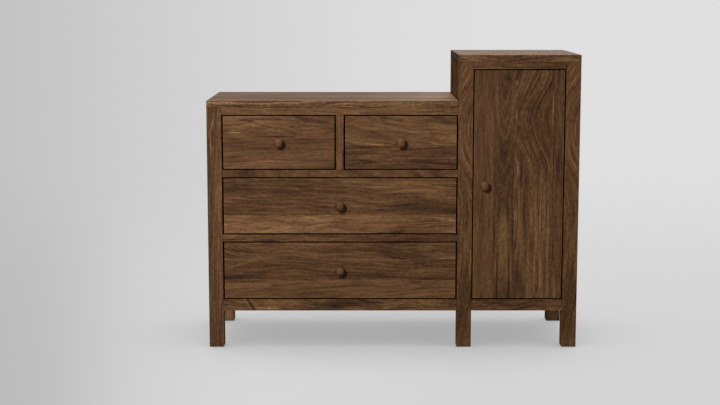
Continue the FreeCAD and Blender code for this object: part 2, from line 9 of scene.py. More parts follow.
import bmesh
import bpy
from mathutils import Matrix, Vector


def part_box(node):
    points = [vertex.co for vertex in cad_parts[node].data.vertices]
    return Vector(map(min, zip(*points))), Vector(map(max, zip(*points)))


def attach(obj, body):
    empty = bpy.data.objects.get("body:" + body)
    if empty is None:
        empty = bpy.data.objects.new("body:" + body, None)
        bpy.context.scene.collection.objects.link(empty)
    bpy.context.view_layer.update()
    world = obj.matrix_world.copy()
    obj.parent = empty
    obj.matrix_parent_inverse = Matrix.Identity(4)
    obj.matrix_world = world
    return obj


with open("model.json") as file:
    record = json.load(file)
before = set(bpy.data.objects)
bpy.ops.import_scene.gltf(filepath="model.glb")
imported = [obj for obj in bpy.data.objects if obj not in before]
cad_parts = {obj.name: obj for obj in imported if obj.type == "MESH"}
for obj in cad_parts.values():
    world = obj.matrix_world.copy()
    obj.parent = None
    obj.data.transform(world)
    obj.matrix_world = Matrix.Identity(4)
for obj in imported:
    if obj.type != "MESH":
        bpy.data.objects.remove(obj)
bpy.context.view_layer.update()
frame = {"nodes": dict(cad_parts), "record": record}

# Camera
CAMERA_PLACE = (-0.1133, -5.1283, 1.2096)
CAMERA_TILT = math.radians(81.874)
LENS = 72.51
SENSOR = 36.0

# Lights
KEY_TARGET = (0.0, -0.21, 0.55)
KEY_TO_THE_LEFT = math.radians(26)
KEY_ABOVE = math.radians(30)
KEY_DISTANCE = 5.6
KEY_SIZE = 0.5
KEY_POWER = 330.0
FILL_LIGHT = 0.08
TOP_PLACE = (0.0, 0.55, 3.2)
TOP_SIZE = (2.4, 1.3)
TOP_POWER = 70.0
BACK_PLACE = (0.5, 1.7, 1.45)
BACK_TURN = (math.radians(-62), 0, 0)
BACK_SIZE = (1.0, 0.6)
BACK_POWER = 2.8
BACK_TINT = (1.0, 0.92, 0.80)
LOW_PLACE = (1.5, -0.12, 0.12)
LOW_TURN = (math.radians(90), 0, math.radians(90))
LOW_SIZE = (0.3, 0.15)
LOW_POWER = 9.0

# Stage: a pale floor with painted light, whose level changes over a fan of directions and again near the
# object, and with a painted shadow near what stands on it
FLOOR_HALF = 400.0
FLOOR_LEFT = 0.440
FLOOR_RIGHT = 0.738
FLOOR_FAN = (-0.113, -5.1)      # the point from which the directions fan out
# The floor's changing level is painted light, and so are the falls and the rise near the object
FLOOR_FADE = (-0.5, 0.13)       # directions between which it brightens
NEAR_FLOOR = (-1.25, 5.25)      # depths between which the falls and the rise below die out
FALL_TO_RIGHT = (-0.08, 0.11)
RIGHT_FALL = 0.11
FALL_TO_LEFT = (-0.22, -0.14)
LEFT_FALL = 0.085
RISE_FROM_LEFT = (-0.24, -0.18)
RISE_TO_RIGHT = (-0.11, -0.02)
NEAR_RISE = 0.04
FLOOR_SHADE = 0.42
SHADE_STEP = (0.03, 0.9)
SHADE_REACH = 0.62
FLOOR_IN_REFLECTIONS = 0.35
FLOOR_IN_OTHER_LIGHT = (0.4, 0.4, 0.4, 1.0)
SKY = 0.70

# Screws: radius and height of the heads, their shape as shares of these, and their places
PAN_HEAD = (0.0036, 0.0022)
LEAF_HEAD = (0.0034, 0.0008)
STRIKE_HEAD = (0.0034, 0.00015)
SCREW_SIDES = 24
SCREW_PROFILE = ((1.0, 0.0), (1.0, 0.35), (0.94, 0.65), (0.82, 0.88), (0.62, 1.0))
RECESS_ARM = 0.46
RECESS_HALF = 0.13
RECESS_FLOOR = 0.35
SLIDE_WEB = 0.0073
SLIDE_SCREWS = (0.037, 0.165, 0.293)
LEAF_THICKNESS = 0.0025
LEAF_SCREWS = (0.021, 0.037)
CATCH_SCREW_SPACING = 0.030

# Woods: colours from the darkest lines to the palest streaks, at levels from 0 to 1
WALNUT = [(0.0, (0.024, 0.013, 0.007)), (0.3, (0.055, 0.028, 0.012)), (0.5, (0.094, 0.047, 0.019)),
          (0.75, (0.148, 0.081, 0.032)), (1.0, (0.245, 0.150, 0.064))]
RED_WALNUT = [(0.0, (0.026, 0.012, 0.008)), (0.3, (0.062, 0.027, 0.014)), (0.5, (0.102, 0.046, 0.022)),
              (0.75, (0.158, 0.079, 0.035)), (1.0, (0.250, 0.140, 0.064))]
MAPLE = [(0.0, (0.30, 0.18, 0.085)), (0.4, (0.48, 0.32, 0.165)), (0.65, (0.58, 0.41, 0.23)),
         (1.0, (0.68, 0.51, 0.31))]
PALE_MAPLE = [(0.0, (0.34, 0.20, 0.10)), (0.4, (0.53, 0.36, 0.20)), (0.65, (0.62, 0.45, 0.27)),
              (1.0, (0.72, 0.56, 0.37))]
WOODS = {"walnut": (WALNUT, RED_WALNUT, 1.0), "walnut_panel": (WALNUT, RED_WALNUT, 1.0),
         "maple": (MAPLE, PALE_MAPLE, 0.7)}     # two palettes to mix, and the figure's contrast

# Figure: what rings, bands and end grain do to a board's level, hue, roughness and relief
MIDDLE_LEVEL = 0.5
MIDDLE_HUE = 0.45
HUE_SWAY = 0.8
SWAY_CELLS = 5.0
STREAK_SWAY = (0.03, 0.01)
LATE_WOOD_POWER = 4.0
LATE_WOOD = 0.05
RING_TO_RING = 0.06
END_GRAIN_STEP = (0.5, 0.8)
END_GRAIN_SHADE = 0.2
ROUGHNESS = 0.54
STREAK_ROUGHNESS = 0.25
PORE_ROUGHNESS = 0.12
END_GRAIN_ROUGHNESS = 0.46
FIBRE_RELIEF = 0.6
STREAK_RELIEF = 0.5
WOOD_RELIEF = {"Strength": 0.25, "Distance": 0.0004}
# Painted shade: the near-black colour that joints and gaps darken towards, where another surface stands
# within reach
CREVICE_SHADE_COLOUR = (0.001, 0.0006, 0.0004, 1.0)
CREVICE_REACH = 0.006
CREVICE_STEP = (0.4, 1.0)
# Paler edges: partly a painted highlight along the edges, partly rubbed wear
EDGE_REACH = 0.004
EDGE_STEP = (0.0, 0.1)
SEED_START = 31.7
SEED_STEP = 3.3

# Metal and plastic: cells per metre of the fine and the cloudy grain, and what these do to the looks
BRUSH_ALONG = 15
BRUSH_ACROSS = 900
BRUSH_IN_LEVEL = 0.5
BRUSH_IN_ROUGHNESS = 0.15
METAL_CLOUDS = 60
METAL_CLOUDS_IN_ROUGHNESS = 0.25
METAL_LEVEL = 0.6
METAL_DARK = 0.72
METAL_RELIEF = {"Strength": 0.15, "Distance": 0.0002}
SAND = 1800
SAND_IN_LEVEL = 0.4
PLASTIC_CLOUDS = 80
PLASTIC_CLOUDS_IN_ROUGHNESS = 0.2
PLASTIC_LEVEL = 0.5
PLASTIC_PALE = 1.5
PLASTIC_RELIEF = {"Strength": 0.3, "Distance": 0.0002}


class Field:
    """A number that varies over a surface. Arithmetic on fields adds Math nodes."""

    def __init__(self, shader, socket):
        self.shader = shader
        self.socket = socket

    def __add__(self, other):
        return self.shader.math("ADD", self, other)

    def __sub__(self, other):
        return self.shader.math("SUBTRACT", self, other)

    def __rsub__(self, other):
        return self.shader.math("SUBTRACT", other, self)

    def __mul__(self, other):
        return self.shader.math("MULTIPLY", self, other)

    def __truediv__(self, other):
        return self.shader.math("DIVIDE", self, other)

    __radd__ = __add__
    __rmul__ = __mul__

    def apply(self, operation, other=0.0):
        return self.shader.math(operation, self, other)

    def step(self, start, end):
        """0 up to start, 1 from end on, and smooth between them."""
        made = self.shader.node("ShaderNodeMapRange", {"Value": self, "From Min": start, "From Max": end},
                                interpolation_type="SMOOTHSTEP")
        return Field(self.shader, made.outputs["Result"])


class Shader:
    """The nodes of a material or of the world, added by short calls."""

    def __init__(self, owner):
        owner.use_nodes = True
        self.owner = owner
        self.tree = owner.node_tree

    def node(self, kind, inputs=None, **settings):
        """A new node with these settings, its inputs linked or set."""
        made = self.tree.nodes.new(kind)
        for name, value in settings.items():
            setattr(made, name, value)
        for name, value in (inputs or {}).items():
            self.feed(made.inputs[name], value)
        return made

    def feed(self, socket, value):
        """Link a field or an output to an input, or set a constant on it."""
        if isinstance(value, Field):
            value = value.socket
        if isinstance(value, bpy.types.NodeSocket):
            self.tree.links.new(value, socket)
        else:
            socket.default_value = value

    def math(self, operation, first, second=0.0):
        made = self.node("ShaderNodeMath", {0: first, 1: second}, operation=operation)
        return Field(self, made.outputs[0])

    def vector(self, x, y, z):
        return self.node("ShaderNodeCombineXYZ", {0: x, 1: y, 2: z}).outputs[0]

    def place(self):
        """The point's x, y and z, in the frame of the part at rest."""
        coordinates = self.node("ShaderNodeTexCoord").outputs["Object"]
        parts = self.node("ShaderNodeSeparateXYZ", {0: coordinates})
        return [Field(self, socket) for socket in parts.outputs]

    def normal(self):
        """The x, y and z of the direction the surface faces, in the same frame."""
        direction = self.node("ShaderNodeTexCoord").outputs["Normal"]
        parts = self.node("ShaderNodeSeparateXYZ", {0: direction})
        return [Field(self, socket) for socket in parts.outputs]

    def noise_node(self, x, y, z, detail, roughness=0.5):
        return self.node("ShaderNodeTexNoise", {"Vector": self.vector(x, y, z), "Scale": 1.0,
                                                "Detail": detail, "Roughness": roughness})

    def noise(self, x, y, z, detail=2.0):
        """A noise about 0, mostly between -0.25 and 0.25."""
        return Field(self, self.noise_node(x, y, z, detail).outputs["Fac"]) - 0.5

    def noises(self, x, y, z):
        """Three unlike noises about 0, all slow and smooth."""
        colour = self.noise_node(x, y, z, detail=1.5, roughness=0.35).outputs["Color"]
        parts = self.node("ShaderNodeSeparateColor", {0: colour})
        return [Field(self, socket) - 0.5 for socket in parts.outputs]

    def layer(self, layer, along, across, into, seed):
        """One layer of a board's figure."""
        made = self.noise(along * layer.along + seed * layer.seed, across * layer.across,
                          into * layer.into, layer.detail)
        return made.step(*layer.step) if layer.step else made

    def random(self, number):
        """A random level from -0.5 to 0.5 for each whole number."""
        made = self.node("ShaderNodeTexWhiteNoise", {"W": number}, noise_dimensions="1D")
        return Field(self, made.outputs["Value"]) - 0.5

    def colours(self, level, stops):
        """A colour between (level, colour) stops."""
        made = self.node("ShaderNodeValToRGB", {"Fac": level})
        elements = made.color_ramp.elements
        while len(elements) < len(stops):
            elements.new(1.0)
        for element, (position, colour) in zip(elements, stops):
            element.position = position
            element.color = (*colour, 1.0)
        return made.outputs["Color"]

    def mix(self, amount, first, second):
        """A colour between two others."""
        made = self.node("ShaderNodeMix", data_type="RGBA")
        factor, _, _, _, _, _, a, b = made.inputs[:8]
        for socket, value in ((factor, amount), (a, first), (b, second)):
            self.feed(socket, value)
        return made.outputs[2]

    def openness(self, reach):
        """1 on an open surface, less where something else stands within reach of it."""
        made = self.node("ShaderNodeAmbientOcclusion", {"Distance": reach}, samples=8)
        return Field(self, made.outputs["AO"])

    def edge(self, reach):
        """About 0.1 at the edges of a board, and 0 from reach inwards."""
        rounded = self.node("ShaderNodeBevel", {"Radius": reach}, samples=6).outputs["Normal"]
        flat = self.node("ShaderNodeNewGeometry").outputs["True Normal"]
        made = self.node("ShaderNodeVectorMath", {0: rounded, 1: flat}, operation="DOT_PRODUCT")
        return 1 - Field(self, made.outputs["Value"])

    def rays(self):
        """1 where the camera, a reflection or a pane looks, and 1 where a reflection alone does."""
        path = self.node("ShaderNodeLightPath")
        camera, glossy, pane = [Field(self, path.outputs[f"Is {kind} Ray"])
                                for kind in ("Camera", "Glossy", "Transmission")]
        return camera.apply("MAXIMUM", glossy).apply("MAXIMUM", pane), glossy


def new_material(name):
    return Shader(bpy.data.materials.new(name))


@dataclass
class Layer:
    """A noise in a board's figure: its cells per metre, its detail, and its weight in the level."""
    along: float
    across: float
    into: float
    detail: float
    weight: float
    step: tuple = ()        # levels between which it sets in, if it isn't there all over
    seed: float = 1.0       # share of the board's own seed


@dataclass
class Cut:
    """How a board lay in its tree and how its grain runs."""
    tone: float = 0.0       # lighter or darker than the usual level
    heart: float = 0.0      # heart of the tree across the board, from its middle
    depth: float = 0.09     # heart of the tree into the board, from its middle
    lean: float = 0.04      # how the heart comes nearer along the grain
    level: float = -9.0     # place along the grain up to which the heart runs level instead
    ring: float = 0.0075    # width of a growth ring
    wave: float = 0.04      # how far the grain wanders
    pace: float = 4.5       # wanderings per metre along the grain
    red: float = 0.0        # redder or browner than the usual hue
    figure: float = 1.0     # how strongly its figure shows
    run: float = 1.0        # how short its streaks are along the grain
    bow: float = 0.0        # how far its grain bows to the side, where its plan says
    seed: float = 0.0       # sets its noises apart from those of other boards


@dataclass
class Plan:
    """A node's boards: the axes along the grain, across it and into the board, and the glued-up cuts."""
    axes: str
    cuts: tuple
    seams: tuple = ()       # glue lines between the cuts, across the board from its middle
    bow: tuple = ()         # where along the grain it bows, and how far to each side
    gloss: float = 0.03     # how much the oiled surface reflects
    crevice: float = 1.0    # how strongly shade is painted into its joints and gaps with other boards
    wear: float = 0.0       # how much paler its edges are: partly a painted highlight, partly rubbed wear


@dataclass
class Streak:
    """A soft light or dark line on a board, along and across it from its middle."""
    start: tuple
    end: tuple
    width: float
    strength: float


def board_values(across, plan):
    """The values of the cut at hand: numbers, or fields that change at each glue line."""
    chosen = {}
    for item in fields(Cut):
        values = [getattr(cut, item.name) for cut in plan.cuts]
        result = values[0]
        for seam, below, above in zip(plan.seams, values, values[1:]):
            if above != below:
                result = across.apply("GREATER_THAN", seam) * (above - below) + result
        chosen[item.name] = result
    return Cut(**chosen)


def streak_level(streak, along, across):
    """The streak's strength at a point: full on its line, fading to its sides and its ends."""
    (u0, v0), (u1, v1) = streak.start, streak.end
    run = (along - u0) / (u1 - u0)
    off = (across - v0 - run * (v1 - v0)) / streak.width
    ends = (run - run * run) * 4
    return ends.apply("MAXIMUM", 0.0) / (off * off + 1) / (off * off + 1) * streak.strength


def same_board(streak, across, seams):
    """1 on the board of a glue-up that the streak lies on, and 0 past its glue lines."""
    middle = (streak.start[1] + streak.end[1]) / 2
    inside = 1.0
    for seam in seams:
        inside = across.apply("GREATER_THAN" if middle > seam else "LESS_THAN", seam) * inside
    return inside


# Layers that follow the growth rings, across which their cells are counted
RING_LAYERS = {
    "zones": Layer(1.6, 9, 2, 2, 0.5),
    "bands": Layer(3, 26, 3, 3, 0.6),
    "streaks": Layer(7, 85, 10, 2, 0.45),
    "lines": Layer(11, 260, 20, 2, 0.6),
    "hairs": Layer(18, 450, 40, 1, 0.5),
    "veins": Layer(6, 150, 10, 1, -0.2, step=(0.10, 0.22)),
    "flecks": Layer(9, 140, 10, 1, 0.14, step=(0.12, 0.24), seed=-1.0),
}
# Layers that follow the board
BOARD_LAYERS = {
    "specks": Layer(80, 150, 150, 1, 0.45, seed=0.0),
    "fibres": Layer(30, 900, 900, 2, 0.25, seed=0.0),
    "pores": Layer(45, 700, 700, 2, -0.12, step=(0.13, 0.2), seed=0.0),
}


def wood(name, plan, grain_and_painted_light_lines, middle, brown, red, contrast):
    """A board's material: rings about the heart of its tree, with bands, streaks and pores along them,
    painted shade in its joints and gaps, and paler edges.
    """
    shader = new_material(name)
    place = shader.place()
    order = ["XYZ".index(axis) for axis in plan.axes]
    along, across, into = [place[i] - middle[i] for i in order]
    cut = board_values(across, plan)

    sway = shader.noises(along * cut.pace + cut.seed, across * SWAY_CELLS, into * SWAY_CELLS)
    side = across - cut.heart + sway[0] * cut.wave
    deep = into - cut.depth + along.apply("MAXIMUM", cut.level) * cut.lean + sway[1] * cut.wave
    if plan.bow:
        centre, reach = plan.bow
        turn = ((along - centre) / reach).apply("MAXIMUM", -1.0).apply("MINIMUM", 1.0)
        side = side - (1 - (turn * math.pi).apply("COSINE")) * cut.bow
    radius = (side * side + deep * deep).apply("SQRT")

    rings = radius / cut.ring
    late = rings.apply("FRACT").apply("POWER", LATE_WOOD_POWER)
    growth = shader.random(rings.apply("FLOOR") + cut.seed)
    pattern = growth * RING_TO_RING - late * LATE_WOOD
    flow = along * cut.run
    figure = {}
    for kind, layer in RING_LAYERS.items():
        figure[kind] = shader.layer(layer, flow, radius, into, cut.seed)
        pattern = pattern + figure[kind] * layer.weight
    for kind, layer in BOARD_LAYERS.items():
        figure[kind] = shader.layer(layer, along, across, into, cut.seed)
        pattern = pattern + figure[kind] * layer.weight

    end_grain = shader.normal()[order[0]].apply("ABSOLUTE").step(*END_GRAIN_STEP)
    level = MIDDLE_LEVEL + cut.tone + pattern * (cut.figure * contrast) - end_grain * END_GRAIN_SHADE
    for line in grain_and_painted_light_lines:
        shown = streak_level(line, along + sway[2] * STREAK_SWAY[0], across + sway[0] * STREAK_SWAY[1])
        level = level + shown * same_board(line, across, plan.seams)
    # Paler edges: partly a painted highlight along the edges, partly rubbed wear
    if plan.wear:
        level = level + shader.edge(EDGE_REACH).step(*EDGE_STEP) * plan.wear
    hue = (figure["bands"] + sway[2] * HUE_SWAY + cut.red + MIDDLE_HUE).step(0.0, 1.0)
    colour = shader.mix(hue, shader.colours(level, brown), shader.colours(level, red))
    # Painted shade: joints and gaps darken where another surface stands within reach
    painted_shade = (1 - shader.openness(CREVICE_REACH).step(*CREVICE_STEP)) * plan.crevice
    colour = shader.mix(painted_shade, colour, CREVICE_SHADE_COLOUR)

    roughness = (ROUGHNESS + figure["streaks"] * STREAK_ROUGHNESS + figure["pores"] * PORE_ROUGHNESS
                 + end_grain * END_GRAIN_ROUGHNESS)
    height = figure["fibres"] * FIBRE_RELIEF + figure["streaks"] * STREAK_RELIEF - figure["pores"]
    bump = shader.node("ShaderNodeBump", {"Height": height, **WOOD_RELIEF})
    surface = shader.tree.nodes["Principled BSDF"]
    shader.feed(surface.inputs["Base Color"], colour)
    shader.feed(surface.inputs["Roughness"], roughness)
    shader.feed(surface.inputs["Specular IOR Level"], plan.gloss)
    shader.feed(surface.inputs["Normal"], bump.outputs["Normal"])
    return shader.owner


def metal(name, colour, roughness, lines):
    """Plated or brushed sheet: fine lines along one axis, with a cloudy shine."""
    shader = new_material(name)
    place = shader.place()
    cells = [BRUSH_ALONG if axis == lines else BRUSH_ACROSS for axis in "XYZ"]
    brushed = shader.noise(*[value * number for value, number in zip(place, cells)])
    cloud = shader.noise(*[value * METAL_CLOUDS for value in place], detail=3)
    dark = tuple(METAL_DARK * part for part in colour)
    surface = shader.tree.nodes["Principled BSDF"]
    level = METAL_LEVEL + cloud + brushed * BRUSH_IN_LEVEL
    shader.feed(surface.inputs["Base Color"], shader.colours(level, [(0.0, dark), (1.0, colour)]))
    shader.feed(surface.inputs["Metallic"], 1.0)
    shader.feed(surface.inputs["Roughness"],
                roughness + cloud * METAL_CLOUDS_IN_ROUGHNESS + brushed * BRUSH_IN_ROUGHNESS)
    bump = shader.node("ShaderNodeBump", {"Height": brushed, **METAL_RELIEF})
    shader.feed(surface.inputs["Normal"], bump.outputs["Normal"])
    return shader.owner


def plastic(name, colour, roughness, gloss):
    """Moulded plastic or a black coat on steel, with a fine sandy grain."""
    shader = new_material(name)
    place = shader.place()
    grain = shader.noise(*[value * SAND for value in place])
    cloud = shader.noise(*[value * PLASTIC_CLOUDS for value in place])
    pale = tuple(PLASTIC_PALE * part for part in colour)
    surface = shader.tree.nodes["Principled BSDF"]
    level = PLASTIC_LEVEL + cloud + grain * SAND_IN_LEVEL
    shader.feed(surface.inputs["Base Color"], shader.colours(level, [(0.0, colour), (1.0, pale)]))
    shader.feed(surface.inputs["Roughness"], roughness + cloud * PLASTIC_CLOUDS_IN_ROUGHNESS)
    shader.feed(surface.inputs["Specular IOR Level"], gloss)
    bump = shader.node("ShaderNodeBump", {"Height": grain, **PLASTIC_RELIEF})
    shader.feed(surface.inputs["Normal"], bump.outputs["Normal"])
    return shader.owner


SHARED = {
    "zinc_steel": metal("zinc_steel", colour=(0.55, 0.56, 0.57), roughness=0.34, lines="Y"),
    "black_steel": plastic("black_steel", colour=(0.008, 0.008, 0.008), roughness=0.6, gloss=0.15),
    "dark_plastic": plastic("dark_plastic", colour=(0.012, 0.010, 0.008), roughness=0.5, gloss=0.3),
}

# Boards planned one by one, most of them seen from the front
# How much paler the fronts' edges are: partly a painted highlight along the edges, partly rubbed wear
EDGE_HIGHLIGHT_AND_WEAR = 0.2
TOWER_LEG = Plan("ZXY", (Cut(tone=-0.025, heart=-0.16, depth=0.07, wave=0.015, pace=2.5, run=0.65,
                             bow=0.052, seed=3.1),), bow=(0.27, 0.3), gloss=0.0)
PLANS = {
    "front_left_leg": Plan("ZXY", (Cut(tone=-0.04, heart=-0.13, depth=0.06, wave=0.03, pace=3.5, red=0.1,
                                       run=0.65, seed=5.3),)),
    "front_middle_leg": TOWER_LEG,
    "front_right_leg": TOWER_LEG,
    # The rear legs' paler tones are partly painted light, lifting legs that stand in shade under the case
    "rear_left_leg": Plan("ZXY", (Cut(tone=0.08, heart=0.15, seed=6.1),)),
    "rear_right_leg": Plan("ZXY", (Cut(tone=0.05, heart=0.15, seed=7.3),)),
    "rear_middle_post": Plan("ZXY", (Cut(heart=0.15, seed=7.9),), gloss=0.0),
    "dresser_top": Plan("XZY", (Cut(tone=-0.085, heart=0.15, depth=-0.35, red=-0.05, figure=1.5, run=0.5,
                                    seed=8.2),), gloss=0.06, crevice=0.0),
    "tower_top": Plan("XZY", (Cut(tone=-0.07, heart=0.15, depth=0.35, figure=1.4, run=0.5, seed=9.4),),
                      gloss=0.06, crevice=0.0),
    "dresser_top_rail": Plan("XZY", (Cut(tone=0.08, heart=0.15, red=0.1, seed=11.0),), crevice=0.0),
    "tower_top_rail": Plan("XZY", (Cut(tone=-0.08, heart=0.15, seed=12.0),), crevice=0.0),
    "divider_rails": Plan("XZY", (Cut(tone=-0.03, heart=0.12, wave=0.025, pace=5, red=0.15, seed=13.0),)),
    "dresser_bottom_rail": Plan("XZY", (Cut(tone=-0.02, heart=0.1, wave=0.04, pace=6, figure=1.3,
                                            seed=14.0),)),
    "tower_bottom_rail": Plan("XZY", (Cut(tone=-0.02, heart=0.1, wave=0.04, pace=6, figure=1.3,
                                          seed=15.0),)),
    "centre_divider": Plan("ZXY", (Cut(tone=-0.10, heart=0.2, wave=0.02, red=0.25, seed=16.0),)),
    "partition_panel": Plan("ZYX", (Cut(tone=-0.09, heart=0.3, figure=1.5, seed=28.0),), gloss=0.0),
    "top_left_drawer_front": Plan(
        "XZY",
        (Cut(tone=-0.015, heart=-0.2, wave=0.012, red=0.1, figure=0.75, run=0.8, seed=17.0),
         Cut(tone=0.06, heart=0.14, wave=0.045, run=0.8, seed=18.0)),
        seams=(0.026,), wear=EDGE_HIGHLIGHT_AND_WEAR),
    "top_right_drawer_front": Plan(
        "XZY",
        (Cut(tone=-0.09, heart=-0.2, wave=0.025, run=0.8, seed=19.0),
         Cut(tone=0.065, heart=0.12, wave=0.045, run=0.8, seed=20.0)),
        seams=(-0.01,), wear=EDGE_HIGHLIGHT_AND_WEAR),
    "middle_drawer_front": Plan(
        "XZY",
        (Cut(tone=0.16, heart=-0.14, wave=0.04, red=0.45, run=0.8, seed=21.0),
         Cut(tone=0.01, heart=0.2, wave=0.03, run=0.8, seed=22.0)),
        seams=(-0.032,), wear=EDGE_HIGHLIGHT_AND_WEAR),
    "low_drawer_front": Plan(
        "XZY",
        (Cut(tone=0.03, heart=-0.15, wave=0.02, figure=0.75, run=0.8, seed=23.0),
         Cut(tone=-0.095, heart=0.2, wave=0.04, run=0.8, seed=24.0)),
        seams=(-0.034,), wear=EDGE_HIGHLIGHT_AND_WEAR),
    "door_panel": Plan(
        "ZXY",
        (Cut(tone=-0.055, heart=-0.25, wave=0.008, figure=0.65, seed=25.0),
         Cut(tone=-0.09, heart=-0.05, depth=0.042, lean=0.065, level=-0.05, wave=0.010, red=-0.15,
             figure=1.2, run=0.4, seed=26.0),
         Cut(tone=-0.07, heart=-0.25, wave=0.012, figure=1.15, run=0.6, bow=0.03, seed=29.0),
         Cut(tone=-0.05, heart=0.25, wave=0.012, figure=1.1, run=0.6, seed=27.0)),
        seams=(-0.085, -0.014, 0.108), bow=(0.22, 0.18), wear=EDGE_HIGHLIGHT_AND_WEAR),
}
